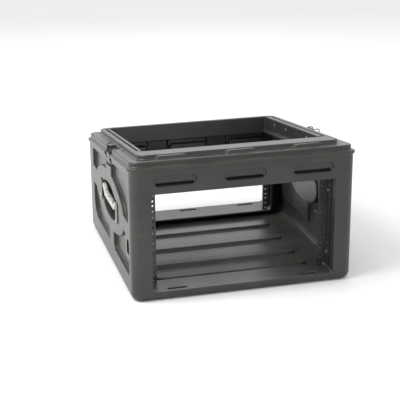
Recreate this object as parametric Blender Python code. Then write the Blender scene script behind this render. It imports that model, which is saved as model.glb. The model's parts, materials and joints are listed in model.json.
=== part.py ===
"""Rotomoulded equipment rack case: slanted top bay, front and rear bays, steel rack rails, swing
handles, draw latches and door keepers. Millimetres below, metres in the model. t runs from the
front face to the back, s is the distance out from the middle plane, w is the height off the
slanted bead plane."""
import math

import bmesh
import bpy
from mathutils import Matrix, Vector

MM = 0.001

# Rack standard
RACK_UNIT = 44.45
UNIT_HOLES = (6.35, 22.225, 38.1)
HOLE_X = 232.55
CLEAR_X = 225.0
HOLE_R = 2.7
FRONT_UNITS = 6
REAR_UNITS = 4
TOP_UNITS = 10

# Body
HALF_WIDTH = 302.0
DEPTH = 615.0
BEAD_FRONT_Z = 366.0
SLOPE = 0.1358
SLANT = math.atan(SLOPE)
WALL = 6.0
CORNER_R = 25.0
BOTTOM_R = 18.0
BEAD_OUT = 4.0
BEAD_LOW = -12.0
SHOULDER_H = 13.4
RIM_H = 25.7
RIM_SIDE = 30.0
RIM_FRONT = 38.0
RIM_REAR = 22.0
RIM_DRAFT = 0.2
FLOOR_R = 18.0
PIT_TS = ((202.0, 222.0), (386.0, 400.0))

# Bays
BAY_BOTTOM = 25.0
BAY_HALF = 247.5
BAY_R = 7.0
FRONT_SLEEVE = 80.0
REAR_SLEEVE = 88.0
WELL_HALF = 246.0
WELL_FRONT = 108.0
WELL_REAR = 573.0
WELL_DROP = 52.0
LEDGE_HALF = 253.4
LEDGE_DROP = 3.6
GROOVE_HALF = 259.5
GROOVE_DROP = 12.0

# Side recesses
SIDE_MID_T = 300.0
RING_Z = 188.0
RING_A = 200.0
RING_B = 80.0
PANEL_DEPTH = 10.0
DISH_Z = 186.0
DISH_A = 108.0
DISH_B = 48.0
DISH_DEPTH = 30.0
YOKE_DEPTH = 16.0
KEEPER_T = (50.0, 112.0)
KEEPER_Z = (98.0, 150.0)
KEEPER_DEPTH = 22.0
LATCH_T = 287.5
LATCH_HALF = 37.5
LATCH_LOW = -38.0
LATCH_DEPTH = 8.0
LATCH_STEP = 3.0

# Front and rear face
SLOT_XS = (-185.0, 0.0, 185.0)
SLOT_HALF = 56.5
SLOT_R = 13.5
SLOT_DEPTH = 7.0
GROOVE_DEPTH = 20.0
GROOVE_H = 7.0
FRONT_SLOT_Z = 326.0
REAR_SLOT_Z = 243.0
NOTCH_X = 180.0
NOTCH_HALF = 30.5
NOTCH_H = 8.0
PAD_XS = (-187.0, -3.0, 180.0)
PAD_OUT = 10.0
SILL_SLOT_HALF = 26.0

# Floor ribs
RIB_TS = (452.0, 338.0, 222.0, 132.0)
RIB_HALF = 24.0
RIB_REACH = 222.0
RIB_Z = 14.0

# Rails
STEEL = 2.5
GAP = 0.3
FRONT_RAIL_T = 62.0
REAR_RAIL_T = 535.0
FRONT_WEB = (28.0, 64.0)
REAR_WEB = (535.5, 581.0)
FRONT_BOLT_T = 46.0
REAR_BOLT_T = 559.0
TOP_RAIL_DROP = 44.0
TOP_RAIL_HALF = 221.5
TOP_BOLTS_T = (215.0, 388.0, 490.0)

# Handle
PIVOT_S = 297.0
PIVOT_Z = 204.0
PIN_R = 3.0
PIN_BORE = 3.1
ARM_T = 93.0
SCREW_Z = 166.0
SCREW_T = 112.0

# Latch
LEVER_S = 300.0
LEVER_W = -27.0
HOOK_S = 299.0
HOOK_W = -14.0
WIRE_R = 1.5
LEVER_BORE = 2.08
LEG_U = 26.5


def paint(obj, tint, rough, metal=0.0):
    """Gives an object a Principled material of its own."""
    material = bpy.data.materials.new(obj.name)
    material.use_nodes = True
    shader = material.node_tree.nodes["Principled BSDF"]
    shader.inputs["Base Color"].default_value = (*tint, 1.0)
    shader.inputs["Roughness"].default_value = rough
    shader.inputs["Metallic"].default_value = metal
    obj.data.materials.append(material)
    return obj


PLASTIC = ((0.055, 0.052, 0.048), 0.55)
BLACK_STEEL = ((0.02, 0.02, 0.02), 0.4, 0.6)
ZINC = ((0.62, 0.62, 0.6), 0.35, 1.0)


def body(name, shells, helper=False):
    """Makes one mesh object from closed shells given as (points in mm, faces)."""
    mesh = bpy.data.meshes.new(name)
    build = bmesh.new()
    for points, faces in shells:
        verts = [build.verts.new([c * MM for c in p]) for p in points]
        for face in faces:
            build.faces.new([verts[i] for i in face])
    bmesh.ops.recalc_face_normals(build, faces=build.faces)
    build.to_mesh(mesh)
    build.free()
    obj = bpy.data.objects.new(name, mesh)
    bpy.context.scene.collection.objects.link(obj)
    if helper:
        obj.hide_render = True
        obj.display_type = "WIRE"
    return obj


def loft(rings):
    """A closed shell through rings that hold the same number of points."""
    size = len(rings[0])
    points = [p for ring in rings for p in ring]
    faces = [list(range(size)), list(range(len(points) - size, len(points)))]
    for k in range(len(rings) - 1):
        for i in range(size):
            j = (i + 1) % size
            faces.append([k * size + i, k * size + j, (k + 1) * size + j, (k + 1) * size + i])
    return points, faces


def at(x, t, z):
    """Turns depth from the front face into the centred frame."""
    return (x, t - DEPTH / 2, z)


def bead_z(t, w=0.0):
    """Height of the slanted bead plane, moved up by w."""
    return BEAD_FRONT_Z - SLOPE * t + w


def prism(outline, axis, low, high):
    """Extrudes a two-axis outline along x, t or z."""
    place = "xtz".index(axis)
    rings = []
    for v in (low, high):
        rings.append([at(*p[:place], v, *p[place:]) for p in map(tuple, outline)])
    return loft(rings)


def slanted(outline, low, high):
    """Extrudes an (x, t) outline between two planes parallel to the bead plane."""
    return loft([[at(x, t, bead_z(t, w)) for x, t in outline] for w in (low, high)])


def box(xs, ts, zs):
    return prism([(xs[0], ts[0]), (xs[1], ts[0]), (xs[1], ts[1]), (xs[0], ts[1])], "z", *zs)


def arc(cx, cy, rx, ry, start, stop, steps):
    angles = [math.radians(start + (stop - start) * i / steps) for i in range(steps + 1)]
    return [(cx + rx * math.cos(a), cy + ry * math.sin(a)) for a in angles]


def ring(cx, cy, rx, ry, count):
    return arc(cx, cy, rx, ry, 0, 360, count)[:-1]


def rounded(x0, x1, y0, y1, r, steps=4):
    """Rounded rectangle outline."""
    return (
        arc(x1 - r, y0 + r, r, r, -90, 0, steps)
        + arc(x1 - r, y1 - r, r, r, 0, 90, steps)
        + arc(x0 + r, y1 - r, r, r, 90, 180, steps)
        + arc(x0 + r, y0 + r, r, r, 180, 270, steps)
    )


def stadium(cx, cy, half, r, steps=6):
    right = arc(cx + half - r, cy, r, r, -90, 90, steps)
    return right + arc(cx - half + r, cy, r, r, 90, 270, steps)


def boolean(obj, other, operation="DIFFERENCE"):
    change = obj.modifiers.new(other.name, "BOOLEAN")
    change.operation = operation
    change.solver = "EXACT"
    change.object = other
    return obj


def cut(obj, name, *shells):
    """Cuts shells that don't touch each other from an object."""
    return boolean(obj, body(name, shells, helper=True))


def join(obj, name, *shells):
    return boolean(obj, body(name, shells, helper=True), "UNION")


def span(side, near, far):
    """An x range from two distances out, in rising order."""
    return sorted((side * near, side * far))


# Shell


def plan(side, front, rear, r):
    """Plan outline of the body pulled in from its sides, front and rear."""
    return rounded(-HALF_WIDTH + side, HALF_WIDTH - side, front, DEPTH - rear, r, 6)


def outer_form():
    rings = []
    for angle in (0, 30, 60, 90):
        a = math.radians(angle)
        inset = BOTTOM_R * (1 - math.sin(a))
        z = BOTTOM_R * (1 - math.cos(a))
        rings.append([at(x, t, z) for x, t in plan(inset, inset, inset, CORNER_R - inset / 2)])
    out = BEAD_OUT
    steps = [
        (0, 0, 0, CORNER_R, BEAD_LOW),
        (-out, -out, -out, CORNER_R + out, BEAD_LOW + 2.5),
        (-out, -out, -out, CORNER_R + out, -1.5),
        (2.6, 10, 6, CORNER_R, 0),
        (2.6, 10, 6, CORNER_R, SHOULDER_H - 2),
        (4.6, 12, 8, CORNER_R, SHOULDER_H),
        (RIM_SIDE, RIM_FRONT, RIM_REAR, CORNER_R, SHOULDER_H),
        (RIM_SIDE, RIM_FRONT + 2.1, RIM_REAR, CORNER_R, RIM_H - 2),
        (RIM_SIDE + 0.6, RIM_FRONT + 3, RIM_REAR + 0.6, CORNER_R - 0.6, RIM_H - 0.6),
        (RIM_SIDE + 2, RIM_FRONT + 4.4, RIM_REAR + 2, CORNER_R - 2, RIM_H),
    ]
    for side, front, rear, r, w in steps:
        outline = plan(side, front, rear, r)
        rings.append([at(x, t, bead_z(t, w)) for x, t in outline])
    return loft(rings)


def cavity_form():
    rings = []
    for angle in (0, 45, 90):
        a = math.radians(angle)
        inset = WALL + FLOOR_R * (1 - math.sin(a))
        z = WALL + FLOOR_R * (1 - math.cos(a))
        outline = plan(inset, inset, inset, CORNER_R - inset / 2)
        rings.append([at(x, t, z) for x, t in outline])
    for side, front, rear, w in ((WALL, WALL, WALL, -8), (9, 16, 12, -2), (9, 16, 12, 7.4)):
        outline = plan(side, front, rear, CORNER_R - 4)
        rings.append([at(x, t, bead_z(t, w)) for x, t in outline])
    return loft(rings)


def panel_outlines():
    """The four recessed side panels, as (t, z) outlines before the ring is taken off them."""
    return [
        [(42, 208), (262, 208), (262, bead_z(262, -25)), (42, bead_z(42, -25))],
        [(338, 217), (540, 217), (540, bead_z(540, -25)), (338, bead_z(338, -25))],
        [(42, 62), (236, 62), (247, 74), (247, 166), (42, 166)],
        [(311, 66), (492, 66), (524, 80), (538, 110), (538, 164), (311, 164)],
    ]


def grown(outline, by):
    """Moves each corner of an outline away from its middle by a fixed amount along t and z."""
    mid_t = sum(p[0] for p in outline) / len(outline)
    mid_z = sum(p[1] for p in outline) / len(outline)
    return [
        (t + math.copysign(by, t - mid_t), z + math.copysign(by, z - mid_z)) for t, z in outline
    ]


def panels(name, side, grow, depth):
    """The side panels of one side as a solid, open round the ring."""
    xs = span(side, HALF_WIDTH - depth, HALF_WIDTH + 9)
    shells = [prism(grown(p, grow), "x", *xs) for p in panel_outlines()]
    solid = body(name, shells, helper=True)
    middle = ring(SIDE_MID_T, RING_Z, RING_A - grow, RING_B - grow, 56)
    wide = span(side, HALF_WIDTH - depth - 9, HALF_WIDTH + 19)
    return cut(solid, name + "_ring", prism(middle, "x", *wide))


def fill_cavity(cavity):
    """Takes out of the cavity what stays solid: sleeves, ribs and the backs of recesses."""
    x = WELL_HALF + WALL
    well = rounded(-x, x, WELL_FRONT - WALL, WELL_REAR + WALL, 12)
    cut(cavity, "well_sleeve", slanted(well, RIM_H - WELL_DROP, RIM_H))
    x = BAY_HALF + WALL
    low = BAY_BOTTOM - WALL
    front_top = BAY_BOTTOM + FRONT_UNITS * RACK_UNIT + WALL
    rear_top = BAY_BOTTOM + REAR_UNITS * RACK_UNIT + WALL
    front = prism(rounded(-x, x, low, front_top, BAY_R + 4), "t", -9, FRONT_SLEEVE)
    rear = prism(rounded(-x, x, low, rear_top, BAY_R + 4), "t", DEPTH - REAR_SLEEVE, DEPTH + 9)
    cut(cavity, "bay_sleeves", front, rear)
    backs = []
    for cx in (-NOTCH_X, NOTCH_X):
        half = NOTCH_HALF + WALL
        backs.append(box((cx - half, cx + half), (-9, 30), (-9, NOTCH_H + WALL)))
    cut(cavity, "notch_backs", *backs)
    cut(cavity, "slot_backs", *slot_forms(WALL))
    cut(cavity, "groove_backs", *groove_forms(WALL))
    ribs = []
    for t in RIB_TS:
        reach, half = RIB_REACH, RIB_HALF
        low_ring = [at(px, pt, 0) for px, pt in stadium(0, t, reach, half, 5)]
        top_ring = [at(px, pt, RIB_Z) for px, pt in stadium(0, t, reach - 7, half - 7, 5)]
        ribs.append(loft([low_ring, top_ring]))
    cut(cavity, "floor_ribs", *ribs)
    for side in (-1, 1):
        tag = "left" if side < 0 else "right"
        boolean(cavity, panels("panel_backs_" + tag, side, WALL, PANEL_DEPTH + WALL))
    for form in (dish_form, yoke_form, keeper_form, latch_form):
        backs = [form(side, WALL) for side in (-1, 1)]
        cut(cavity, form.__name__ + "_backs", *backs)


def face_forms(make):
    """The same form for each slot place, in the front face and in the rear face."""
    forms = []
    for cx in SLOT_XS:
        for cz, rear in ((FRONT_SLOT_Z, False), (REAR_SLOT_Z, True)):
            outline, depth = make(cx, cz)
            ts = (DEPTH - depth, DEPTH + 19) if rear else (-19, depth)
            forms.append(prism(outline, "t", *ts))
    return forms


def slot_forms(grow):
    """Long shallow slots."""
    return face_forms(lambda x, z: (stadium(x, z, SLOT_HALF + grow, SLOT_R + grow), SLOT_DEPTH + grow))


def groove_forms(grow):
    """The deep groove along the foot of each slot."""
    return face_forms(lambda x, z: (groove_outline(x, z - SLOT_R, grow), GROOVE_DEPTH + grow))


def groove_outline(x, foot, grow):
    half = SLOT_HALF - 7 + grow
    return rounded(x - half, x + half, foot + 0.4 - grow, foot + GROOVE_H + grow, 3 + grow / 2, 3)


def dish_form(side, grow):
    """The bowl behind the grip."""
    outline = ring(SIDE_MID_T, DISH_Z, DISH_A + grow, DISH_B + grow, 40)
    return prism(outline, "x", *span(side, HALF_WIDTH - DISH_DEPTH - grow, HALF_WIDTH + 9 + grow))


def yoke_form(side, grow):
    """The slot in which the ends of the grip and their pins sit."""
    outline = rounded(186 - grow, 414 + grow, 190 - grow, 216 + grow, 5 + grow / 3, 2)
    return prism(outline, "x", *span(side, HALF_WIDTH - YOKE_DEPTH - grow, HALF_WIDTH + 11 + grow))


def keeper_form(side, grow):
    return box(
        span(side, HALF_WIDTH - KEEPER_DEPTH - grow, HALF_WIDTH + 12 + grow),
        (KEEPER_T[0] - grow, KEEPER_T[1] + grow),
        (KEEPER_Z[0] - grow, KEEPER_Z[1] + grow),
    )


def latch_form(side, grow):
    """The latch pocket: a shallow recess in the side that cuts through the bead and the shoulder."""
    low, step = LATCH_LOW - grow, LATCH_STEP - grow
    deep = HALF_WIDTH - LATCH_DEPTH - grow
    inner = HALF_WIDTH - RIM_SIDE + 4 - grow
    profile = [(inner, step), (deep, step), (deep, low), (320, low), (320, 40), (inner, 40)]
    ends = (LATCH_T - LATCH_HALF - grow, LATCH_T + LATCH_HALF + grow)
    return loft([[at(side * s, t, bead_z(t, w)) for s, w in profile] for t in ends])


def open_bays(shell):
    well = rounded(-WELL_HALF, WELL_HALF, WELL_FRONT, WELL_REAR, 8, 3)
    cut(shell, "well_opening", slanted(well, RIM_H - WELL_DROP - 9, RIM_H + 20))
    ledge = rounded(-LEDGE_HALF, LEDGE_HALF, WELL_FRONT + 4, WELL_REAR - 4, 5, 2)
    cut(shell, "well_ledge", slanted(ledge, RIM_H - LEDGE_DROP, RIM_H + 30))
    grooves = []
    for side in (-1, 1):
        xs = span(side, LEDGE_HALF - 0.1, GROOVE_HALF)
        outline = rounded(*xs, WELL_FRONT + 8, WELL_REAR - 8, 2.5, 3)
        grooves.append(slanted(outline, RIM_H - GROOVE_DROP, RIM_H + 40))
    cut(shell, "rim_grooves", *grooves)
    front_top = BAY_BOTTOM + FRONT_UNITS * RACK_UNIT
    rear_top = BAY_BOTTOM + REAR_UNITS * RACK_UNIT
    front = rounded(-BAY_HALF, BAY_HALF, BAY_BOTTOM, front_top, BAY_R)
    rear = rounded(-BAY_HALF, BAY_HALF, BAY_BOTTOM, rear_top, BAY_R)
    near = prism(front, "t", -19, FRONT_SLEEVE + 9)
    far = prism(rear, "t", DEPTH - REAR_SLEEVE - 9, DEPTH + 19)
    cut(shell, "bay_openings", near, far)


def cut_recesses(shell):
    cuts = []
    for cx in SLOT_XS:
        sill = (cx - SILL_SLOT_HALF, cx + SILL_SLOT_HALF)
        cuts.append(box(sill, (DEPTH - 22, DEPTH - 14), (BAY_BOTTOM - 12, BAY_BOTTOM + 9)))
    for cx in (-NOTCH_X, NOTCH_X):
        cuts.append(box((cx - NOTCH_HALF, cx + NOTCH_HALF), (-9, 24), (-9, NOTCH_H)))
        sill = (cx - SILL_SLOT_HALF, cx + SILL_SLOT_HALF)
        cuts.append(box(sill, (14, 22), (BAY_BOTTOM - 9, BAY_BOTTOM + 9)))
    cut(shell, "face_cuts", *cuts)
    cut(shell, "face_slots", *slot_forms(0))
    cut(shell, "face_grooves", *groove_forms(0))
    for side in (-1, 1):
        tag = "left" if side < 0 else "right"
        boolean(shell, panels("panels_" + tag, side, 0, PANEL_DEPTH))
    for form in (dish_form, yoke_form, keeper_form, latch_form):
        cut(shell, form.__name__ + "_cuts", *[form(side, 0) for side in (-1, 1)])
    pits = []
    for side in (-1, 1):
        for near, far in PIT_TS:
            outline = rounded(*span(side, 274, 280), near, far, 2.5, 2)
            pits.append(slanted(outline, SHOULDER_H - 3.5, SHOULDER_H + 5))
    cut(shell, "shoulder_pits", *pits)


def rim_pads():
    """Three raised pads on the front of the rim."""
    pads = []
    for cx in PAD_XS:
        low = SHOULDER_H - 3
        outline = [(-41, low), (41, low), (38, 20), (31, 22.5), (-31, 22.5), (-38, 20)]
        near = [(x, RIM_FRONT - PAD_OUT + RIM_DRAFT * (w - low), w) for x, w in outline]
        far = [(x, RIM_FRONT + 9, w) for x, w in outline]
        pads.append(loft([[at(cx + x, t, bead_z(t, w)) for x, t, w in end] for end in (near, far)]))
    return pads


def bolt_places():
    """Every rail bolt as (name, side, t, z)."""
    places = []
    for side, tag in ((-1, "left"), (1, "right")):
        for i, t in enumerate(TOP_BOLTS_T):
            places.append((f"top_bolt_{tag}_{i + 1}", side, t, bead_z(t, RIM_H - 19)))
        for i, z in enumerate((70.0, 246.0)):
            places.append((f"front_bolt_{tag}_{i + 1}", side, FRONT_BOLT_T, z))
        for i, z in enumerate((62.0, 166.0)):
            places.append((f"rear_bolt_{tag}_{i + 1}", side, REAR_BOLT_T, z))
    return places


def screw_places():
    places = []
    for side, tag in ((-1, "left"), (1, "right")):
        for end, sign in (("front", -1), ("rear", 1)):
            places.append((f"handle_screw_{tag}_{end}", side, SIDE_MID_T + sign * SCREW_T))
    return places


def rivet_places():
    places = []
    for side, tag in ((-1, "left"), (1, "right")):
        for end, u in (("front", -20.0), ("rear", 20.0)):
            places.append((f"latch_rivet_{tag}_{end}", side, LATCH_T + u))
    return places


def fixing_holes():
    """Clearance holes through the shell for bolts, screws and rivets."""
    holes = []
    for name, side, t, z in bolt_places():
        holes.append(prism(ring(t, z, 3.0, 3.0, 8), "x", *span(side, 240, 262)))
    for name, side, t in screw_places():
        holes.append(prism(ring(t, SCREW_Z, 2.8, 2.8, 8), "x", *span(side, 290, 310)))
    for name, side, t in rivet_places():
        z = bead_z(t, -14)
        holes.append(prism(ring(t, z, 2.2, 2.2, 8), "x", *span(side, 284, 299)))
    return holes


def case_shell():
    shell = body("case_shell", [outer_form()])
    join(shell, "rim_pad_forms", *rim_pads())
    cavity = body("shell_cavity", [cavity_form()], helper=True)
    fill_cavity(cavity)
    boolean(shell, cavity)
    open_bays(shell)
    cut_recesses(shell)
    cut(shell, "fixing_holes", *fixing_holes())
    paint(shell, *PLASTIC)


# Rails


def unit_centres(low, units):
    return [low + RACK_UNIT * u + hole for u in range(units) for hole in UNIT_HOLES]


def upright_rail(name, side, t, units, web_ts, bolts):
    """An L-shaped rack rail in a bay sleeve: a holed flange, and a web bolted to the sleeve."""
    low, high = BAY_BOTTOM + 0.6, BAY_BOTTOM + units * RACK_UNIT - 0.6
    outer = BAY_HALF - GAP
    outline = [
        (CLEAR_X, low),
        (outer - 11, low),
        (outer, low + 13),
        (outer, high - 13),
        (outer - 11, high),
        (CLEAR_X, high),
    ]
    flange = prism([(side * x, z) for x, z in outline], "t", t, t + STEEL)
    rail = body(name, [flange])
    web = box(span(side, outer - STEEL, outer), web_ts, (low + 14, high - 14))
    join(rail, name + "_web", web)
    centres = unit_centres(BAY_BOTTOM, units)
    holes = [prism(ring(side * HOLE_X, z, HOLE_R, HOLE_R, 8), "t", t - 5, t + 9) for z in centres]
    cut(rail, name + "_holes", *holes)
    sides = [prism(ring(bt, bz, 3, 3, 8), "x", *span(side, 230, 260)) for bt, bz in bolts]
    cut(rail, name + "_bolt_holes", *sides)
    paint(rail, *BLACK_STEEL)


def tilted(side, s, u, w):
    """A point given along the slanted rim plane of the well."""
    mid = (WELL_FRONT + WELL_REAR) / 2 + 2
    t = mid + u * math.cos(SLANT) + w * math.sin(SLANT)
    z = bead_z(mid, RIM_H) - u * math.sin(SLANT) + w * math.cos(SLANT)
    return at(side * s, t, z)


def top_rail(name, side):
    """A stepped rail down one side of the slanted bay: lip at the rim, holed flange at its foot."""
    outer = WELL_HALF - GAP
    foot = -TOP_RAIL_DROP
    profile = [
        (outer - STEEL, -0.6),
        (outer - STEEL, foot + STEEL),
        (CLEAR_X, foot + STEEL),
        (CLEAR_X, foot),
        (outer, foot),
        (outer, -0.6 - STEEL),
        (LEDGE_HALF - GAP, -0.6 - STEEL),
        (LEDGE_HALF - GAP, -0.6),
    ]
    ends = (-TOP_RAIL_HALF, TOP_RAIL_HALF)
    rail = body(name, [loft([[tilted(side, s, u, w) for s, w in profile] for u in ends])])
    holes = []
    for u in unit_centres(-TOP_UNITS * RACK_UNIT / 2, TOP_UNITS):
        outline = ring(HOLE_X, u, HOLE_R, HOLE_R, 8)
        levels = (foot - 5, foot + 7)
        holes.append(loft([[tilted(side, s, v, w) for s, v in outline] for w in levels]))
    cut(rail, name + "_holes", *holes)
    bolts = []
    for t in TOP_BOLTS_T:
        outline = ring(t, bead_z(t, RIM_H - 19), 3, 3, 8)
        bolts.append(prism(outline, "x", *span(side, 240, 260)))
    cut(rail, name + "_bolt_holes", *bolts)
    paint(rail, *BLACK_STEEL)


def turned(side, t, z, stations, count=10):
    """A round piece along x, given as (distance out, radius) stations."""
    return loft([[at(side * s, *p) for p in ring(t, z, r, r, count)] for s, r in stations])


def rail_bolts():
    for name, side, t, z in bolt_places():
        inner = (WELL_HALF if name.startswith("top") else BAY_HALF) - GAP - STEEL - GAP
        stations = [(inner - 1.1, 3.4), (inner - 0.5, 4.8), (inner, 4.8), (inner, 2.5), (256, 2.5)]
        paint(body(name, [turned(side, t, z, stations)]), *ZINC)


# Handle


def handle_bracket(name, side, end):
    """A plate on the side with an ear that carries one end of the grip."""
    mid = SIDE_MID_T
    base = HALF_WIDTH + GAP
    plate = [(mid + end * u, z) for u, z in rounded(95, 122, 156, 214, 5, 2)]
    bracket = body(name, [prism(plate, "x", *span(side, base, base + 2))])
    corners = ((95.5, 197.5), (100, 197.5), (100, 210.5), (95.5, 210.5))
    ear = [(mid + end * u, z) for u, z in corners]
    join(bracket, name + "_ear", prism(ear, "x", *span(side, 291, base + 1)))
    bore = ring(side * PIVOT_S, PIVOT_Z, PIN_BORE, PIN_BORE, 16)
    cut(bracket, name + "_bore", prism(bore, "t", *sorted((mid + end * 90, mid + end * 105))))
    hole = prism(ring(mid + end * SCREW_T, SCREW_Z, 2.8, 2.8, 8), "x", *span(side, 298, 310))
    cut(bracket, name + "_hole", hole)
    paint(bracket, *ZINC)


def grip_section(side, t, low, high, inner, outer):
    """An eight-cornered section of the grip across its length."""
    cut_s, cut_z = (outer - inner) * 0.28, (high - low) * 0.22
    corners = [
        (inner + cut_s, low),
        (outer - cut_s, low),
        (outer, low + cut_z),
        (outer, high - cut_z),
        (outer - cut_s, high),
        (inner + cut_s, high),
        (inner, high - cut_z),
        (inner, low + cut_z),
    ]
    return [at(side * s, t, z) for s, z in corners]


def handle_grip(name, side):
    """The swinging grip, hung on two pins; its origin is on the pin axis."""
    half = [
        (ARM_T, 191, 210, 291, 303),
        (ARM_T - 5, 189, 210, 291, 303),
        (ARM_T - 12, 184, 207, 290.5, 303.5),
        (ARM_T - 20, 179, 199, 290, 304),
        (ARM_T - 32, 176.5, 193, 290, 304),
        (20, 176, 191, 290, 304),
    ]
    stations = [(-u, *rest) for u, *rest in half] + [(u, *rest) for u, *rest in reversed(half)]
    rings = [grip_section(side, SIDE_MID_T + u, *rest) for u, *rest in stations]
    grip = body(name, [loft(rings)])
    bores = []
    for end in (-1, 1):
        ts = sorted((SIDE_MID_T + end * (ARM_T + 4), SIDE_MID_T + end * (ARM_T - 9)))
        bores.append(prism(ring(side * PIVOT_S, PIVOT_Z, PIN_BORE, PIN_BORE, 16), "t", *ts))
    cut(grip, name + "_bores", *bores)
    set_origin(grip, at(side * PIVOT_S, SIDE_MID_T, PIVOT_Z))
    paint(grip, (0.7, 0.69, 0.66), 0.4)


def handle_pin(name, side, end):
    ts = sorted((SIDE_MID_T + end * 105, SIDE_MID_T + end * (ARM_T - 7)))
    outline = ring(side * PIVOT_S, PIVOT_Z, PIN_R, PIN_R, 16)
    paint(body(name, [prism(outline, "t", *ts)]), *ZINC)


def handle_screws():
    for name, side, t in screw_places():
        head = HALF_WIDTH + 2 * GAP + 2
        stations = [(head + 1.3, 3.2), (head + 0.5, 4.8), (head, 4.8), (head, 2.4), (292, 2.4)]
        paint(body(name, [turned(side, t, SCREW_Z, stations)]), *ZINC)


# Latch


def leaning(side, s, u, w):
    """A point of the latch, whose frame leans with the bead."""
    t = LATCH_T + u * math.cos(SLANT) + w * math.sin(SLANT)
    z = bead_z(LATCH_T) - u * math.sin(SLANT) + w * math.cos(SLANT)
    return at(side * s, t, z)


def latch_prism(side, outline, low, high):
    """Extrudes an (s, w) outline along the latch's width."""
    return loft([[leaning(side, s, u, w) for s, w in outline] for u in (low, high)])


def latch_base(name, side):
    floor = HALF_WIDTH - LATCH_DEPTH + GAP
    plate = [(floor, -35), (floor + 2, -35), (floor + 2, -6), (floor, -6)]
    base = body(name, [latch_prism(side, plate, -33, 33)])
    lug = [(floor + 1, -33), (301, -33), (303.5, -30), (303.5, -24), (301, -21), (floor + 1, -21)]
    cheeks = [latch_prism(side, lug, u, u + 2) for u in (-32.5, 30.5)]
    join(base, name + "_lugs", *cheeks)
    bore = ring(LEVER_S, LEVER_W, LEVER_BORE, LEVER_BORE, 16)
    cut(base, name + "_bore", latch_prism(side, bore, -40, 40))
    holes = []
    for rivet, rivet_side, t in rivet_places():
        if rivet_side == side:
            outline = ring(t, bead_z(t, -14), 2.2, 2.2, 8)
            holes.append(prism(outline, "x", *span(side, 288, 298)))
    cut(base, name + "_holes", *holes)
    paint(base, *BLACK_STEEL)


def latch_lever(name, side):
    """The pull lever; its origin is on its pivot."""
    knuckle = [
        (297.5, -28.5),
        (298.5, -30.2),
        (301.5, -30.2),
        (303.6, -28),
        (303.6, -19),
        (301.4, -19),
        (301.4, -23.5),
        (298.5, -23.8),
        (297.5, -25.5),
    ]
    plate = [(303.6, -22), (303.6, -1), (305.8, 1), (305, 2.2), (301.4, -1), (301.4, -22)]
    cheek = [(297.2, -17), (302.5, -17), (302.5, -10), (298, -10), (297.2, -12)]
    lever = body(name, [latch_prism(side, knuckle, -29.5, 29.5)])
    join(lever, name + "_plate", latch_prism(side, plate, -20, 20))
    join(lever, name + "_cheeks", *[latch_prism(side, cheek, u, u + 2.4) for u in (-19.8, 17.4)])
    bore = ring(LEVER_S, LEVER_W, LEVER_BORE, LEVER_BORE, 16)
    cut(lever, name + "_bore", latch_prism(side, bore, -40, 40))
    eye = ring(HOOK_S, HOOK_W, WIRE_R + 0.1, WIRE_R + 0.1, 12)
    cut(lever, name + "_eyes", latch_prism(side, eye, -30, 30))
    set_origin(lever, leaning(side, LEVER_S, 0, LEVER_W))
    paint(lever, *BLACK_STEEL)


def wire(path, r, count):
    """Rings of a bent rod of round section that follows a path of vectors."""
    rings = []
    last = len(path) - 1
    for i, point in enumerate(path):
        ahead = (path[min(i + 1, last)] - path[min(i, last - 1)]).normalized()
        behind = (path[max(i, 1)] - path[max(i - 1, 0)]).normalized()
        along = (ahead + behind).normalized()
        across = along.cross(Vector((0.0, 0.35, 1.0))).normalized()
        lift = across.cross(along)
        ring_points = []
        for k in range(count):
            a = math.tau * k / count
            ring_points.append(point + across * r * math.cos(a) + lift * r * math.sin(a))
        rings.append(ring_points)
    return rings


def latch_hook(name, side):
    """The wire loop that catches a lid, bent in over the shoulder; its origin is on its eye axis."""
    leg = LEG_U
    half = [
        (-16.8, HOOK_W, 0),
        (-leg + 1.5, HOOK_W, 0),
        (-leg, HOOK_W + 1.5, 0),
        (-leg, 15, 0.6),
        (-leg, 19, -0.8),
        (-leg, 21, -4),
        (-leg, 21.5, -11),
        (-leg + 1.6, 21.5, -14.5),
        (-leg + 6, 21.5, -16),
    ]
    path = [Vector(p) for p in half + [(-u, w, s) for u, w, s in reversed(half)]]
    rings = [[leaning(side, HOOK_S + p.z, p.x, p.y) for p in loop] for loop in wire(path, WIRE_R, 8)]
    hook = body(name, [loft(rings)])
    set_origin(hook, leaning(side, HOOK_S, 0, HOOK_W))
    paint(hook, *BLACK_STEEL)


def latch_pin(name, side):
    outline = ring(LEVER_S, LEVER_W, 2.0, 2.0, 16)
    paint(body(name, [latch_prism(side, outline, -33.5, 33.5)]), *ZINC)


def latch_rivets():
    for name, side, t in rivet_places():
        head = HALF_WIDTH - LATCH_DEPTH + 2 * GAP + 2
        stations = [(head + 0.4, 2.4), (head, 3.4), (head - 0.01, 1.9), (287.5, 1.9)]
        paint(body(name, [turned(side, t, bead_z(t, -14), stations, 8)]), *ZINC)


# Door keepers


def keeper_plate(name, side):
    base = HALF_WIDTH - PANEL_DEPTH + GAP
    frame = prism(rounded(46, 116, 94, 154, 5, 2), "x", *span(side, base, base + 2))
    plate = body(name, [frame])
    window = prism(rounded(56, 106, 104, 144, 4, 2), "x", *span(side, base - 9, base + 9))
    cut(plate, name + "_window", window)
    paint(plate, *ZINC)


def keeper_bar(name, side):
    ts = (KEEPER_T[0] + GAP, KEEPER_T[1] - GAP)
    outline = ring(side * (HALF_WIDTH - PANEL_DEPTH - 5), 131, 3, 3, 10)
    paint(body(name, [prism(outline, "t", *ts)]), *ZINC)


def set_origin(obj, point):
    """Moves an object's origin to a point given in mm without moving its shape."""
    place = Vector(point) * MM
    obj.data.transform(Matrix.Translation(-place))
    obj.location = place


def clear_scene():
    for obj in list(bpy.data.objects):
        bpy.data.objects.remove(obj, do_unlink=True)


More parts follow.
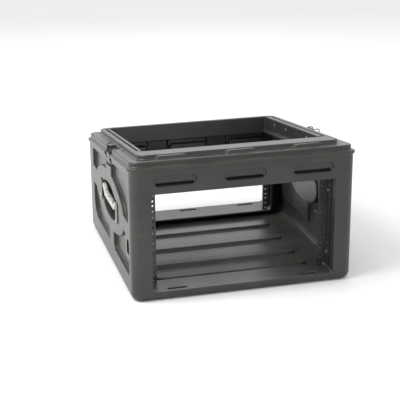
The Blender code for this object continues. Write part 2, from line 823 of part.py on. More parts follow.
def main():
    clear_scene()
    case_shell()
    bolts = bolt_places()
    for side, tag in ((-1, "left"), (1, "right")):
        for bay, t, units, web in (
            ("front", FRONT_RAIL_T, FRONT_UNITS, FRONT_WEB),
            ("rear", REAR_RAIL_T, REAR_UNITS, REAR_WEB),
        ):
            mine = [(bt, bz) for name, s, bt, bz in bolts if name.startswith(f"{bay}_bolt_{tag}")]
            upright_rail(f"{bay}_rail_{tag}", side, t, units, web, mine)
        top_rail(f"top_rail_{tag}", side)
        for end, sign in (("front", -1), ("rear", 1)):
            handle_bracket(f"handle_bracket_{tag}_{end}", side, sign)
            handle_pin(f"handle_pin_{tag}_{end}", side, sign)
        handle_grip(f"handle_grip_{tag}", side)
        latch_base(f"latch_base_{tag}", side)
        latch_lever(f"latch_lever_{tag}", side)
        latch_hook(f"latch_hook_{tag}", side)
        latch_pin(f"latch_pin_{tag}", side)
        keeper_plate(f"keeper_plate_{tag}", side)
        keeper_bar(f"keeper_bar_{tag}", side)
    rail_bolts()
    handle_screws()
    latch_rivets()


main()
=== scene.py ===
import json
import math

import bmesh
import bpy
from mathutils import Matrix, Vector


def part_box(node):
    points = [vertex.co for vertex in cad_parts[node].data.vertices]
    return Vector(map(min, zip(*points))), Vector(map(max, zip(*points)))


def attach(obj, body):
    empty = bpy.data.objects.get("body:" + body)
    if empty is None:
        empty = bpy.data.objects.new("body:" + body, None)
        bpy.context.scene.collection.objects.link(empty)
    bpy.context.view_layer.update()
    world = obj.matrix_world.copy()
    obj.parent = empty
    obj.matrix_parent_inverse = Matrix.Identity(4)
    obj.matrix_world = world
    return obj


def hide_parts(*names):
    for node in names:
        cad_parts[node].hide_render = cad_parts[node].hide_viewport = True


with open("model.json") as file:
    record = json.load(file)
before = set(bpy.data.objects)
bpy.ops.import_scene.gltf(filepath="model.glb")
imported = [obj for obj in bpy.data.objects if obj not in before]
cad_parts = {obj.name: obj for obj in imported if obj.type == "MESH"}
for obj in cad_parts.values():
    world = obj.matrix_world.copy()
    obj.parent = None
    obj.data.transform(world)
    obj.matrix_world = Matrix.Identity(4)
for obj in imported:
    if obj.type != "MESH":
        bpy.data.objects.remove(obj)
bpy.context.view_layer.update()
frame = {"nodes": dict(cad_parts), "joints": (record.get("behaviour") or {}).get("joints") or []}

mm = 0.001
sides = (("left", -1), ("right", 1))
ends = ("front", "rear")
scene = bpy.context.scene


# small helpers

def addObject(name, mesh):
    piece = bpy.data.objects.new(name, mesh)
    scene.collection.objects.link(piece)
    return piece


def placePiece(piece, material, body, slot, *nodes):
    # gives a piece its finish, hangs it on its body and hides the CAD nodes it stands for
    piece.data.materials.clear()
    piece.data.materials.append(material)
    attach(piece, body)
    if nodes:
        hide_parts(*nodes)
    return piece


def shadeRound(piece, degrees=35):
    piece.data.shade_smooth()
    piece.data.set_sharp_from_angle(angle=math.radians(degrees))


def applyModifiers(piece):
    # swaps a piece's mesh for what its modifiers make of it
    graph = bpy.context.evaluated_depsgraph_get()
    made = bpy.data.meshes.new_from_object(piece.evaluated_get(graph))
    piece.modifiers.clear()
    old = piece.data
    piece.data = made
    made.name = piece.name
    bpy.data.meshes.remove(old)


# node helpers and the effects that several finishes share

def addNode(tree, kind, **values):
    # makes a node; a value whose name has an underscore for a space sets that input
    node = tree.nodes.new(kind)
    for key, value in values.items():
        label = key.replace("_", " ")
        if label in node.inputs:
            node.inputs[label].default_value = value
        else:
            setattr(node, key, value)
    return node


def newGroup(name, inputs, outputs):
    group = bpy.data.node_groups.new(name, "ShaderNodeTree")
    for label, start in inputs:
        socket = group.interface.new_socket(label, in_out="INPUT", socket_type="NodeSocketFloat")
        socket.default_value = start
    for label in outputs:
        group.interface.new_socket(label, in_out="OUTPUT", socket_type="NodeSocketFloat")
    return group, group.nodes.new("NodeGroupInput"), group.nodes.new("NodeGroupOutput")


def objectPoint(tree):
    return addNode(tree, "ShaderNodeTexCoord").outputs["Object"]


def scalar(tree, operation, first, second=None, clamp=False):
    node = addNode(tree, "ShaderNodeMath", operation=operation, use_clamp=clamp)
    for index, value in enumerate((first, second)):
        if value is None:
            continue
        if isinstance(value, (int, float)):
            node.inputs[index].default_value = value
        else:
            tree.links.new(value, node.inputs[index])
    return node.outputs[0]


def ramp(tree, value, low, high):
    # 0 below low, 1 above high, smooth between
    node = addNode(tree, "ShaderNodeMapRange", interpolation_type="SMOOTHSTEP", From_Min=low, From_Max=high)
    tree.links.new(value, node.inputs["Value"])
    return node.outputs["Result"]


def noiseAt(tree, point, scale, detail=2.0, roughness=0.5):
    node = addNode(tree, "ShaderNodeTexNoise", Detail=detail, Roughness=roughness)
    tree.links.new(point, node.inputs["Vector"])
    if isinstance(scale, (int, float)):
        node.inputs["Scale"].default_value = scale
    else:
        tree.links.new(scale, node.inputs["Scale"])
    return node.outputs["Fac"]


def grainGroup():
    # pebbled skin of a moulded part: fine cells, a faint orange peel and slow waves
    inputs = [("Cells", 900.0), ("Waves", 14.0)]
    group, given, result = newGroup("mouldedGrain", inputs, ["Height", "Speckle", "Cloud"])
    point = objectPoint(group)
    cells = addNode(group, "ShaderNodeTexVoronoi", feature="SMOOTH_F1", Smoothness=0.6)
    group.links.new(point, cells.inputs["Vector"])
    group.links.new(given.outputs["Cells"], cells.inputs["Scale"])
    peel = noiseAt(group, point, scalar(group, "MULTIPLY", given.outputs["Cells"], 0.35), 3)
    cloud = noiseAt(group, point, given.outputs["Waves"], 3)
    height = scalar(group, "ADD", scalar(group, "MULTIPLY", cells.outputs["Distance"], 0.6), peel)
    group.links.new(height, result.inputs["Height"])
    group.links.new(ramp(group, peel, 0.35, 0.75), result.inputs["Speckle"])
    group.links.new(ramp(group, cloud, 0.3, 0.7), result.inputs["Cloud"])
    return group


def wearGroup():
    # rubbed outer edges, broken up by noise
    inputs = [("Start", 0.53), ("Full", 0.62), ("Breaks", 60.0)]
    group, given, result = newGroup("edgeWear", inputs, ["Mask"])
    geometry = addNode(group, "ShaderNodeNewGeometry")
    edge = addNode(group, "ShaderNodeMapRange", interpolation_type="SMOOTHSTEP")
    group.links.new(geometry.outputs["Pointiness"], edge.inputs["Value"])
    group.links.new(given.outputs["Start"], edge.inputs["From Min"])
    group.links.new(given.outputs["Full"], edge.inputs["From Max"])
    breaks = noiseAt(group, objectPoint(group), given.outputs["Breaks"], 4, 0.6)
    mask = scalar(group, "MULTIPLY", edge.outputs["Result"], ramp(group, breaks, 0.3, 0.65), clamp=True)
    group.links.new(mask, result.inputs["Mask"])
    return group


def dustGroup():
    # dust that settles on what faces up, thicker in patches
    group, given, result = newGroup("settledDust", [("Amount", 0.5), ("Patches", 9.0)], ["Mask"])
    coords = addNode(group, "ShaderNodeTexCoord")
    split = addNode(group, "ShaderNodeSeparateXYZ")
    group.links.new(coords.outputs["Normal"], split.inputs["Vector"])
    patches = noiseAt(group, coords.outputs["Object"], given.outputs["Patches"], 5, 0.65)
    fine = noiseAt(group, coords.outputs["Object"], 700.0, 1)
    facing = ramp(group, split.outputs["Z"], 0.35, 1.0)
    spread = scalar(group, "MULTIPLY", ramp(group, patches, 0.3, 0.75), ramp(group, fine, 0.3, 0.7))
    mask = scalar(group, "MULTIPLY", facing, spread)
    mask = scalar(group, "MULTIPLY", mask, given.outputs["Amount"], clamp=True)
    group.links.new(mask, result.inputs["Mask"])
    return group


def scuffGroup():
    # long thin scratches in two directions
    group, given, result = newGroup("lightScuffs", [("Density", 0.5), ("Scale", 22.0)], ["Mask"])
    point = objectPoint(group)
    layers = []
    for turn, squeeze in ((0.5, (1, 14, 3)), (-0.9, (12, 1, 9))):
        mapping = addNode(group, "ShaderNodeMapping", Rotation=(turn, turn * 0.7, turn * 1.6), Scale=squeeze)
        group.links.new(point, mapping.inputs["Vector"])
        lines = noiseAt(group, mapping.outputs["Vector"], given.outputs["Scale"], 2, 0.4)
        thin = scalar(group, "ABSOLUTE", scalar(group, "SUBTRACT", lines, 0.5))
        layers.append(scalar(group, "SUBTRACT", 1.0, ramp(group, thin, 0.0, 0.012)))
    both = scalar(group, "MAXIMUM", *layers)
    patches = ramp(group, noiseAt(group, point, 7.0, 2), 0.45, 0.7)
    mask = scalar(group, "MULTIPLY", both, patches)
    mask = scalar(group, "MULTIPLY", mask, given.outputs["Density"], clamp=True)
    group.links.new(mask, result.inputs["Mask"])
    return group


def brushGroup():
    # fine drawn lines that run along y
    group, given, result = newGroup("drawnMetal", [("Across", 900.0), ("Along", 30.0)], ["Height", "Cloud"])
    point = objectPoint(group)
    sizes = addNode(group, "ShaderNodeCombineXYZ")
    for axis, label in (("X", "Across"), ("Y", "Along"), ("Z", "Across")):
        group.links.new(given.outputs[label], sizes.inputs[axis])
    stretched = addNode(group, "ShaderNodeVectorMath", operation="MULTIPLY")
    group.links.new(point, stretched.inputs[0])
    group.links.new(sizes.outputs["Vector"], stretched.inputs[1])
    lines = noiseAt(group, stretched.outputs["Vector"], 1.0, 3)
    group.links.new(lines, result.inputs["Height"])
    group.links.new(ramp(group, noiseAt(group, point, 35.0, 3), 0.35, 0.7), result.inputs["Cloud"])
    return group


effects = {make.__name__[:-5]: make() for make in (grainGroup, wearGroup, dustGroup, scuffGroup, brushGroup)}
print("shared effects made:", ", ".join(effects))


def place(tree, effect, **values):
    node = tree.nodes.new("ShaderNodeGroup")
    node.node_tree = effects[effect]
    for key, value in values.items():
        node.inputs[key].default_value = value
    return node


def blendColour(tree, factor, under, over):
    # a Mix node's colours are its inputs 6 and 7 and its output 2
    node = addNode(tree, "ShaderNodeMix", data_type="RGBA")
    tree.links.new(factor, node.inputs["Factor"])
    for index, value in ((6, under), (7, over)):
        if isinstance(value, tuple):
            node.inputs[index].default_value = (*value, 1.0)
        else:
            tree.links.new(value, node.inputs[index])
    return node.outputs[2]


def blendValue(tree, factor, low, high):
    node = addNode(tree, "ShaderNodeMapRange", To_Min=low, To_Max=high)
    tree.links.new(factor, node.inputs["Value"])
    return node.outputs["Result"]


def startMaterial(name, metallic=0.0):
    material = bpy.data.materials.new(name)
    material.use_nodes = True
    tree = material.node_tree
    shader = tree.nodes["Principled BSDF"]
    shader.inputs["Metallic"].default_value = metallic
    return material, tree, shader


def addBump(tree, shader, height, strength, distance):
    bump = addNode(tree, "ShaderNodeBump", Strength=strength, Distance=distance)
    tree.links.new(height, bump.inputs["Height"])
    tree.links.new(bump.outputs["Normal"], shader.inputs["Normal"])


# finishes

plasticLook = {
    "tint": (0.0240, 0.0234, 0.0212),
    "cloudTint": (0.0300, 0.0292, 0.0266),
    "wornTint": (0.075, 0.073, 0.068),
    "dustTint": (0.16, 0.155, 0.145),
    "scuffTint": (0.11, 0.108, 0.102),
    "roughLow": 0.28,
    "roughHigh": 0.42,
    "grainDepth": 0.35 * mm,
    "cells": 850.0,
    "dust": 0.55,
}


def shellPlastic(look):
    material, tree, shader = startMaterial("mouldedShell")
    grain = place(tree, "grain", Cells=look["cells"], Waves=11.0)
    wear = place(tree, "wear", Start=0.535, Full=0.66, Breaks=45.0)
    settled = place(tree, "dust", Amount=look["dust"], Patches=8.0)
    scuffs = place(tree, "scuff", Density=0.35, Scale=18.0)
    colour = blendColour(tree, grain.outputs["Cloud"], look["tint"], look["cloudTint"])
    colour = blendColour(tree, settled.outputs["Mask"], colour, look["dustTint"])
    colour = blendColour(tree, scuffs.outputs["Mask"], colour, look["scuffTint"])
    colour = blendColour(tree, wear.outputs["Mask"], colour, look["wornTint"])
    tree.links.new(colour, shader.inputs["Base Color"])
    rough = blendValue(tree, grain.outputs["Speckle"], look["roughLow"], look["roughHigh"])
    tree.links.new(rough, shader.inputs["Roughness"])
    addBump(tree, shader, grain.outputs["Height"], 0.35, look["grainDepth"])
    return material


def coatedSteel(name, tint, chipTint, rough):
    # painted steel, chipped through to bare metal in a few spots
    material, tree, shader = startMaterial(name)
    grain = place(tree, "grain", Cells=1600.0, Waves=25.0)
    chips = ramp(tree, noiseAt(tree, objectPoint(tree), 240.0, 4, 0.75), 0.79, 0.82)
    settled = place(tree, "dust", Amount=0.3, Patches=20.0)
    colour = blendColour(tree, grain.outputs["Cloud"], tint, tuple(c * 1.4 for c in tint))
    colour = blendColour(tree, settled.outputs["Mask"], colour, (0.12, 0.117, 0.11))
    colour = blendColour(tree, chips, colour, chipTint)
    tree.links.new(colour, shader.inputs["Base Color"])
    spread = blendValue(tree, grain.outputs["Speckle"], rough - 0.06, rough + 0.08)
    tree.links.new(spread, shader.inputs["Roughness"])
    tree.links.new(blendValue(tree, chips, 0.0, 0.8), shader.inputs["Metallic"])
    addBump(tree, shader, grain.outputs["Height"], 0.08, 0.0001)
    return material


def platedSteel(name, tint, stain, rough):
    # zinc plated steel, drawn, clouded and lightly scratched
    material, tree, shader = startMaterial(name, 1.0)
    drawn = place(tree, "brush", Across=1400.0, Along=60.0)
    scuffs = place(tree, "scuff", Density=0.5, Scale=60.0)
    colour = blendColour(tree, drawn.outputs["Cloud"], tint, stain)
    colour = blendColour(tree, scuffs.outputs["Mask"], colour, tuple(min(1.0, c * 1.2) for c in tint))
    tree.links.new(colour, shader.inputs["Base Color"])
    tree.links.new(blendValue(tree, drawn.outputs["Cloud"], rough, rough + 0.16), shader.inputs["Roughness"])
    addBump(tree, shader, drawn.outputs["Height"], 0.2, 0.0001)
    return material


def gripRubber(name, tint, speck, rough):
    # pale moulded grip with dark flecks ground into it
    material, tree, shader = startMaterial(name)
    grain = place(tree, "grain", Cells=1200.0, Waves=40.0)
    flecks = ramp(tree, noiseAt(tree, objectPoint(tree), 95.0, 5, 0.7), 0.54, 0.60)
    colour = blendColour(tree, grain.outputs["Cloud"], tint, tuple(c * 0.88 for c in tint))
    colour = blendColour(tree, flecks, colour, speck)
    tree.links.new(colour, shader.inputs["Base Color"])
    spread = blendValue(tree, grain.outputs["Speckle"], rough, rough + 0.15)
    tree.links.new(spread, shader.inputs["Roughness"])
    addBump(tree, shader, grain.outputs["Height"], 0.3, 0.0003)
    return material


finishes = {
    "shell": shellPlastic(plasticLook),
    "rail": coatedSteel("railCoat", (0.024, 0.024, 0.023), (0.42, 0.42, 0.41), 0.3),
    "latch": coatedSteel("latchCoat", (0.020, 0.020, 0.020), (0.45, 0.45, 0.44), 0.36),
    "bolt": platedSteel("boltZinc", (0.72, 0.72, 0.70), (0.52, 0.51, 0.47), 0.28),
    "bracket": coatedSteel("bracketCoat", (0.045, 0.044, 0.042), (0.4, 0.4, 0.39), 0.38),
    "plate": platedSteel("plateZinc", (0.30, 0.30, 0.29), (0.20, 0.195, 0.185), 0.36),
    "bar": platedSteel("barZinc", (0.60, 0.60, 0.59), (0.42, 0.41, 0.39), 0.3),
    "wire": coatedSteel("wireCoat", (0.018, 0.018, 0.018), (0.5, 0.5, 0.48), 0.35),
    "grip": gripRubber("gripPale", (0.50, 0.49, 0.46), (0.05, 0.05, 0.05), 0.42),
}
print("finishes made:", ", ".join(finishes))


# camera, floor and light

cameraPlace = {
    "x": -0.8337, "y": -2.9511, "z": 1.218,
    "yaw": 0.263, "pitch": 0.334, "roll": -0.006,
    "focal": 102.4, "film": 36.0,
}


def makeCamera(spot):
    data = bpy.data.cameras.new("studioCamera")
    data.sensor_width = spot["film"]
    data.lens = spot["focal"]
    data.clip_start, data.clip_end = 0.05, 60
    camera = addObject("studioCamera", data)
    flat = math.cos(spot["pitch"])
    look = Vector((math.sin(spot["yaw"]) * flat, math.cos(spot["yaw"]) * flat, -math.sin(spot["pitch"])))
    turn = look.to_track_quat("-Z", "Y").to_matrix().to_4x4() @ Matrix.Rotation(spot["roll"], 4, "Z")
    camera.matrix_world = Matrix.Translation((spot["x"], spot["y"], spot["z"])) @ turn
    scene.camera = camera


studio = {
    "floorHalf": 14.0,
    "floorTint": (0.86, 0.86, 0.85),
    "skyStrength": 0.95,
    "aim": (0, 0, 0.2),
    "lamps": {  # place, width and height, watts
        "keySoft": ((-1.8, -0.4, 2.2), (1.6, 1.6), 60.0),
        "rearSoft": ((0.4, 2.6, 1.9), (2.2, 1.2), 20.0),
    },
}


def makeFloor(values):
    half = values["floorHalf"]
    mesh = bpy.data.meshes.new("studioFloor")
    corners = [(-half, -half, 0), (half, -half, 0), (half, half, 0), (-half, half, 0)]
    mesh.from_pydata(corners, [], [(0, 1, 2, 3)])
    floor = addObject("studioFloor", mesh)
    material, tree, shader = startMaterial("floorPaint")
    cloud = ramp(tree, noiseAt(tree, objectPoint(tree), 0.8, 3), 0.3, 0.7)
    tint = values["floorTint"]
    colour = blendColour(tree, cloud, tint, tuple(c * 0.985 for c in tint))
    tree.links.new(colour, shader.inputs["Base Color"])
    shader.inputs["Roughness"].default_value = 0.8
    mesh.materials.append(material)


def makeLight(name, spot, target, size, power):
    data = bpy.data.lights.new(name, "AREA")
    data.shape = "RECTANGLE"
    data.size, data.size_y = size
    data.energy = power
    lamp = addObject(name, data)
    lamp.location = spot
    lamp.rotation_euler = (Vector(target) - Vector(spot)).to_track_quat("-Z", "Y").to_euler()


def makeStudio(values):
    world = bpy.data.worlds.new("studioWorld")
    scene.world = world
    world.use_nodes = True
    tree = world.node_tree
    back = tree.nodes["Background"]
    back.inputs["Color"].default_value = (1.0, 1.0, 1.0, 1.0)
    back.inputs["Strength"].default_value = values["skyStrength"]
    for name, (spot, size, power) in values["lamps"].items():
        makeLight(name, spot, values["aim"], size, power)
    scene.view_settings.view_transform = "Standard"


makeCamera(cameraPlace)
makeFloor(studio)
makeStudio(studio)
print("camera, floor and light placed")


# moulded shell

shellSkin = {
    "voxel": 1.7 * mm,
    "draftVoxel": 2.6 * mm,
    "softness": 0.5,
    "softSteps": 3,
    "share": 0.15,
}


def makeShell(values):
    # the moulded shell with every edge softened as it leaves the mould
    shell = addObject("mouldedShell", frame["nodes"]["case_shell"].data.copy())
    remesh = shell.modifiers.new("even", "REMESH")
    remesh.mode = "VOXEL"
    remesh.voxel_size = values["voxel"]
    smooth = shell.modifiers.new("soften", "SMOOTH")
    smooth.factor = values["softness"]
    smooth.iterations = values["softSteps"]
    thin = shell.modifiers.new("thin", "DECIMATE")
    thin.ratio = values["share"]
    applyModifiers(shell)
    shell.data.shade_smooth()
    print("shell has", len(shell.data.polygons), "faces")
    return placePiece(shell, finishes["shell"], "case", "shell_plastic", "case_shell")


makeShell(shellSkin)


# shapes that the metal and the grips are made of

def solidFrom(name, rings):
    # a closed skin through rings of points that hold the same number each
    size = len(rings[0])
    points = [p for ring in rings for p in ring]
    faces = [list(range(size)), list(range(len(points) - size, len(points)))]
    for k in range(len(rings) - 1):
        for i in range(size):
            j = (i + 1) % size
            faces.append([k * size + i, k * size + j, (k + 1) * size + j, (k + 1) * size + i])
    build = bmesh.new()
    verts = [build.verts.new(p) for p in points]
    for face in faces:
        build.faces.new([verts[i] for i in face])
    bmesh.ops.recalc_face_normals(build, faces=build.faces)
    mesh = bpy.data.meshes.new(name)
    build.to_mesh(mesh)
    build.free()
    return addObject(name, mesh)


def circle(cx, cy, radius, count=20):
    return [
        (cx + radius * math.cos(math.tau * k / count), cy + radius * math.sin(math.tau * k / count))
        for k in range(count)
    ]


def roundedCorners(points, radii, steps=5):
    # a closed outline with each corner turned on its own radius
    outline = []
    count = len(points)
    for i, radius in enumerate(radii):
        here = Vector(points[i])
        before = (Vector(points[i - 1]) - here).normalized()
        after = (Vector(points[(i + 1) % count]) - here).normalized()
        if radius <= 0:
            outline.append(tuple(here))
            continue
        half = before.angle(after) / 2
        reach = radius / math.tan(half)
        middle = here + (before + after).normalized() * (radius / math.sin(half))
        start, stop = here + before * reach, here + after * reach
        for k in range(steps + 1):
            chord = start.lerp(stop, k / steps) - middle
            outline.append(tuple(middle + chord.normalized() * radius))
    return outline


def cutAway(piece, name, ringSets):
    # takes several closed skins out of a piece in one go
    cutters = [solidFrom(f"{name}{k}", rings) for k, rings in enumerate(ringSets)]
    if len(cutters) > 1:
        with bpy.context.temp_override(active_object=cutters[0], selected_editable_objects=cutters):
            bpy.ops.object.join()
    change = piece.modifiers.new(name, "BOOLEAN")
    change.solver = "EXACT"
    change.object = cutters[0]
    applyModifiers(piece)
    bpy.data.objects.remove(cutters[0], do_unlink=True)


def easeEdges(piece, width, steps=2, degrees=30):
    bevel = piece.modifiers.new("ease", "BEVEL")
    bevel.width = width
    bevel.segments = steps
    bevel.limit_method = "ANGLE"
    bevel.angle_limit = math.radians(degrees)
    bevel.harden_normals = False
    applyModifiers(piece)
    shadeRound(piece, 40)


# rack rails

railShape = {
    "steel": 2.5 * mm,
    "bend": 3.6 * mm,
    "innerBend": 1.1 * mm,
    "hole": 2.75 * mm,
    "holeX": 232.55 * mm,
    "unit": 44.45 * mm,
    "steps": (6.35 * mm, 22.225 * mm, 38.1 * mm),
    "chamfer": (11 * mm, 14.95 * mm),
    "chamferPast": (2 * mm, 1 * mm),  # how far its cutter runs past the side and the end
    "lipWidth": 7.4 * mm,
    "boltHole": 3.0 * mm,
    "webSpan": (236 * mm, 260 * mm),  # across the web, where the bolt holes are cut
    "footSpan": (-4 * mm, 7 * mm),  # through the top rail's foot
    "clear": 10 * mm,
    "edge": 0.35 * mm,
    "slant": math.atan(0.1358),  # the top falls toward the back
}


def holeSteps(values, low, units):
    return [low + values["unit"] * unit + step for unit in range(units) for step in values["steps"]]


def boltsIn(node):
    # centres of the bolts that fix a rail, read from the frame
    start = node.replace("_rail_", "_bolt_")
    found = [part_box(name) for name in frame["nodes"] if name.startswith(start)]
    return [(low + high) / 2 for low, high in found]


def boltCutter(values, spot, sign):
    hole = circle(spot.y, spot.z, values["boltHole"])
    return [[(sign * reach, y, z) for y, z in hole] for reach in values["webSpan"]]


def uprightRail(values, bay, side, sign):
    # an L of folded steel with a row of holes in its flange
    node = f"{bay}_rail_{side}"
    low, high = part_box(node)
    steel = values["steel"]
    outer, inner = max(abs(low.x), abs(high.x)), min(abs(low.x), abs(high.x))
    flange, web = (high.y, low.y) if bay == "front" else (low.y, high.y)
    into = -steel if bay == "front" else steel
    corner = [
        (inner, flange), (outer, flange), (outer, web), (outer - steel, web),
        (outer - steel, flange + into), (inner, flange + into),
    ]
    outline = roundedCorners(corner, (0, values["bend"], 0, 0, values["innerBend"], 0))
    rings = [[(sign * s, y, z) for s, y in outline] for z in (low.z, high.z)]
    rail = solidFrom(f"rackRail_{bay}_{side}", rings)
    back, front = low.y - values["clear"], high.y + values["clear"]
    cuts = []
    units = round((high.z - low.z) / values["unit"])
    base = (low.z + high.z - units * values["unit"]) / 2
    for z in holeSteps(values, base, units):
        hole = circle(sign * values["holeX"], z, values["hole"])
        cuts.append([[(x, y, w) for x, w in hole] for y in (back, front)])
    wide, tall = values["chamfer"]
    pastSide, pastEnd = values["chamferPast"]
    for end, way in ((low.z, 1), (high.z, -1)):
        start = end - way * pastEnd
        edge = outer + pastSide
        wedge = [(outer - wide, start), (edge, start), (edge, end + way * tall)]
        cuts.append([[(sign * s, y, z) for s, z in wedge] for y in (back, front)])
    cuts += [boltCutter(values, spot, sign) for spot in boltsIn(node)]
    cutAway(rail, "railCut", cuts)
    easeEdges(rail, values["edge"], 1)
    placePiece(rail, finishes["rail"], "case", "rail_steel", node)


def topRail(values, side, sign):
    # a stepped rail: lip on the rim, deep web, holed flange at the foot
    node = f"top_rail_{side}"
    low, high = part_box(node)
    middle = (low + high) / 2
    cos, sin = math.cos(values["slant"]), math.sin(values["slant"])
    spanY, spanZ = high.y - low.y, high.z - low.z
    length = (spanY * cos - spanZ * sin) / (cos * cos - sin * sin)
    height = (spanZ * cos - spanY * sin) / (cos * cos - sin * sin)
    steel = values["steel"]
    foot, lip = min(abs(low.x), abs(high.x)), max(abs(low.x), abs(high.x))
    outer = lip - values["lipWidth"]
    top, bottom = height / 2, -height / 2

    def spot(s, u, w):
        return (sign * s, middle.y + u * cos + w * sin, middle.z - u * sin + w * cos)

    corner = [
        (outer - steel, top), (outer - steel, bottom + steel), (foot, bottom + steel), (foot, bottom),
        (outer, bottom), (outer, top - steel), (lip, top - steel), (lip, top),
    ]
    bend, innerBend = values["bend"], values["innerBend"]
    outline = roundedCorners(corner, (bend, innerBend, 0, 0, bend, innerBend, 0, 0))
    rings = [[spot(s, u, w) for s, w in outline] for u in (-length / 2, length / 2)]
    rail = solidFrom(f"rackRail_top_{side}", rings)
    cuts = []
    units = int(length / values["unit"] + 0.1)  # a rail may be a hair short of whole units
    for u in holeSteps(values, -units * values["unit"] / 2, units):
        hole = circle(values["holeX"], u, values["hole"])
        cuts.append([[spot(s, v, bottom + reach) for s, v in hole] for reach in values["footSpan"]])
    cuts += [boltCutter(values, centre, sign) for centre in boltsIn(node)]
    cutAway(rail, "railCut", cuts)
    easeEdges(rail, values["edge"], 1)
    placePiece(rail, finishes["rail"], "case", "rail_steel", node)


for side, sign in sides:
    uprightRail(railShape, "front", side, sign)
    uprightRail(railShape, "rear", side, sign)
    topRail(railShape, side, sign)
print("rails made")


# screws, bolts, rivets and pins

headShape = {
    "sunkTall": 1.1 * mm,  # heads that look into the case
    "proudTall": 1.3 * mm,  # heads on its outside
    "dome": 0.34,  # share of the head's height
    "domeSteps": 5,
    "crown": 0.42,  # this and the next three are shares of the head's radius
    "shank": 0.52,
    "recess": 0.42,
    "slot": 0.13,
    "recessDepth": 0.8,  # share of the head's height
    "around": 28,
}


def turnedPiece(name, sign, stations, centre, around):
    # a round piece along x from (distance out, radius) stations
    rings = [
        [(sign * s, y, z) for y, z in circle(centre.y, centre.z, radius, around)] for s, radius in stations
    ]
    return solidFrom(name, rings)


def screwLike(values, node, sign, facing, crossed=True):
    # a pan head with a crossed recess on a plain shank; facing is 1 if the head looks outward
    low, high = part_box(node)
    centre = (low + high) / 2
    near, far = min(abs(low.x), abs(high.x)), max(abs(low.x), abs(high.x))
    headEnd, tip = (far, near) if facing > 0 else (near, far)
    radius = (high.y - low.y) / 2
    tall = values["sunkTall"] if facing < 0 else values["proudTall"]
    crown = values["crown"]
    shank = radius * values["shank"]
    under = headEnd - facing * tall
    stations = [(headEnd, radius * crown)]
    for k in range(1, values["domeSteps"] + 1):
        a = math.pi / 2 * k / values["domeSteps"]
        drop = tall * values["dome"] * (1 - math.cos(a))
        stations.append((headEnd - facing * drop, radius * (crown + (1 - crown) * math.sin(a))))
    stations += [(under, radius), (under, shank), (tip, shank)]
    piece = turnedPiece("head_" + node, sign, stations, centre, values["around"])
    if crossed:
        arm, thin = radius * values["recess"], radius * values["slot"]
        plus = [
            (arm, thin), (thin, thin), (thin, arm), (-thin, arm), (-thin, thin), (-arm, thin),
            (-arm, -thin), (-thin, -thin), (-thin, -arm), (thin, -arm), (thin, -thin), (arm, -thin),
        ]
        span = (headEnd + facing * mm, headEnd - facing * values["recessDepth"] * tall)
        cutAway(piece, "recess", [[[(sign * s, centre.y + a, centre.z + b) for a, b in plus] for s in span]])
    shadeRound(piece, 35)
    return piece


for node in list(frame["nodes"]):
    sign = -1 if "_left" in node else 1
    if "_bolt_" in node:
        placePiece(screwLike(headShape, node, sign, -1), finishes["bolt"], "case", "bolt_zinc", node)
    elif "handle_screw" in node:
        placePiece(screwLike(headShape, node, sign, 1), finishes["bolt"], "case", "bolt_zinc", node)
    elif "latch_rivet" in node:
        placePiece(screwLike(headShape, node, sign, 1, False), finishes["bolt"], "case", "bolt_zinc", node)
print("fixings made")


# grips

gripShape = {
    "stations": 40,
    "around": 28,
    "square": 3.2,
    "climbStart": 0.62,  # shares of the half length
    "climbLength": 0.33,
    "halfTall": 7.4 * mm,
    "endTaller": 2.0 * mm,
    "centreLow": 7.8 * mm,
    "climb": 16.4 * mm,
    "endNarrower": 0.14,
    "capStart": 0.985,
    "capShare": 0.94,
    "waves": 5,
    "waveDepth": 0.5 * mm,
    "bore": 3.1 * mm,
    "borePast": 0.3 * mm,
}


def makeGrip(values, side):
    # a moulded bar that climbs to its pins, a little taller there, with finger waves underneath
    node = f"handle_grip_{side}"
    low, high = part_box(node)
    half = (high.y - low.y) / 2
    middle = (low + high) / 2
    wide = (high.x - low.x) / 2
    rings = []
    for k in range(values["stations"] + 1):
        along = -1 + 2 * k / values["stations"]
        end = abs(along)
        rise = min(1.0, max(0.0, (end - values["climbStart"]) / values["climbLength"]))
        lift = rise * rise * (3 - 2 * rise)
        tall = values["halfTall"] + values["endTaller"] * lift
        centreZ = low.z + values["centreLow"] + values["climb"] * lift
        across = wide * (1.0 - values["endNarrower"] * lift)
        if end > values["capStart"]:
            across *= values["capShare"]
            tall *= values["capShare"]
        wave = math.cos(along * math.pi * values["waves"]) * values["waveDepth"] * (1 - rise)
        loop = []
        for i in range(values["around"]):
            a = math.tau * i / values["around"]
            c, s = math.cos(a), math.sin(a)
            power = 2 / values["square"]
            x = math.copysign(abs(c) ** power, c) * across
            z = math.copysign(abs(s) ** power, s) * (tall + wave * (s < 0))
            loop.append((middle.x + x, middle.y + along * half, centreZ + z))
        rings.append(loop)
    grip = solidFrom(f"gripBar_{side}", rings)
    bores = []
    past = values["borePast"]
    for end in ends:
        pinLow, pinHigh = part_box(f"handle_pin_{side}_{end}")
        centre = (pinLow + pinHigh) / 2
        bore = circle(centre.x, centre.z, values["bore"], 24)
        bores.append([[(x, y, z) for x, z in bore] for y in (pinLow.y - past, pinHigh.y + past)])
    cutAway(grip, "bore", bores)
    shadeRound(grip, 50)
    placePiece(grip, finishes["grip"], f"grip_{side}", "grip_plastic", node)


for side, sign in sides:
    makeGrip(gripShape, side)
print("grips made")


# latch hooks of bent wire

wireShape = {
    "radius": 1.5 * mm,
    "bend": 4.0 * mm,
    "eye": 16.8 * mm,  # half the space between the two inner ends
    "rise": 35.5 * mm,
    "over": 16 * mm,  # how far the top reaches in over the shoulder
    "around": 14,
    "steps": 6,
}


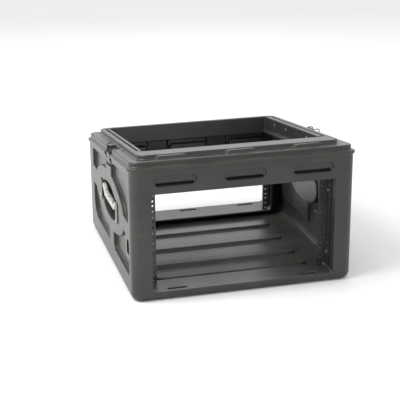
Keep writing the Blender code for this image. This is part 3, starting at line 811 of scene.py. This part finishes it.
def smoothPath(points, radius, steps):
    # rounds each inner corner of a path with a short smooth curve
    path = [points[0]]
    for before, here, after in zip(points, points[1:], points[2:]):
        back, ahead = (before - here), (after - here)
        turn = math.pi - back.angle(ahead)
        reach = min(radius * math.tan(turn / 2), back.length * 0.45, ahead.length * 0.45)
        start, stop = here + back.normalized() * reach, here + ahead.normalized() * reach
        for k in range(steps + 1):
            t = k / steps
            path.append(start.lerp(here, t).lerp(here.lerp(stop, t), t))
    return path + [points[-1]]


def makeHook(values, side, sign):
    # a loop of wire from one eye up, in over the shoulder, across and back
    node = f"latch_hook_{side}"
    low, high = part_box(node)
    slant = railShape["slant"]
    cos, sin = math.cos(slant), math.sin(slant)
    r = values["radius"]
    pivot = next(j for j in frame["joints"] if j["name"] == f"hook_swing_{side}")["pos_m"]
    rise, over = values["rise"], values["over"]
    legU = ((high.y - low.y) - 2 * r - rise * sin) / 2 / cos
    half = [(-values["eye"], 0, 0), (-legU, 0, 0), (-legU, rise, 0), (-legU, rise, -over), (0, rise, -over)]
    corners = [Vector(p) for p in half] + [Vector((-u, w, s)) for u, w, s in reversed(half[:-1])]
    path = smoothPath(corners, values["bend"], values["steps"])
    rings = []
    normal = Vector((0, 0, 1))
    for i, point in enumerate(path):
        along = (path[min(i + 1, len(path) - 1)] - path[max(i - 1, 0)]).normalized()
        normal = (normal - along * normal.dot(along)).normalized()
        other = along.cross(normal)
        loop = []
        for k in range(values["around"]):
            a = math.tau * k / values["around"]
            p = point + normal * r * math.cos(a) + other * r * math.sin(a)
            y = pivot[1] + p.x * cos + p.y * sin
            z = pivot[2] - p.x * sin + p.y * cos
            loop.append((pivot[0] + sign * p.z, y, z))
        rings.append(loop)
    hook = solidFrom(f"wireHook_{side}", rings)
    shadeRound(hook, 50)
    placePiece(hook, finishes["wire"], f"hook_{side}", "hook_wire", node)


for side, sign in sides:
    makeHook(wireShape, side, sign)
print("hooks made")


# plates, levers, pins and bars keep their CAD outline, with eased edges

plateEdges = {  # finish, body, slot and the width of the eased edge
    "handle_bracket": ("bracket", "case", "handle_plate", 0.45 * mm),
    "handle_pin": ("bolt", "case", "pin_steel", 0.5 * mm),
    "latch_base": ("latch", "case", "latch_steel", 0.4 * mm),
    "latch_lever": ("latch", "lever", "latch_steel", 0.45 * mm),
    "latch_pin": ("bolt", "case", "pin_steel", 0.4 * mm),
    "keeper_plate": ("plate", "case", "keeper_steel", 0.5 * mm),
    "keeper_bar": ("bar", "case", "keeper_steel", 0.6 * mm),
}


def easedCopy(node, finish, body, slot, width):
    piece = addObject("eased_" + node, frame["nodes"][node].data.copy())
    piece.matrix_world = frame["nodes"][node].matrix_world
    easeEdges(piece, width, 2, 40)
    placePiece(piece, finishes[finish], body, slot, node)


for node in list(frame["nodes"]):
    for start, (finish, body, slot, width) in plateEdges.items():
        if node.startswith(start):
            side = "left" if "_left" in node else "right"
            easedCopy(node, finish, f"lever_{side}" if body == "lever" else body, slot, width)
print("plates and levers made")
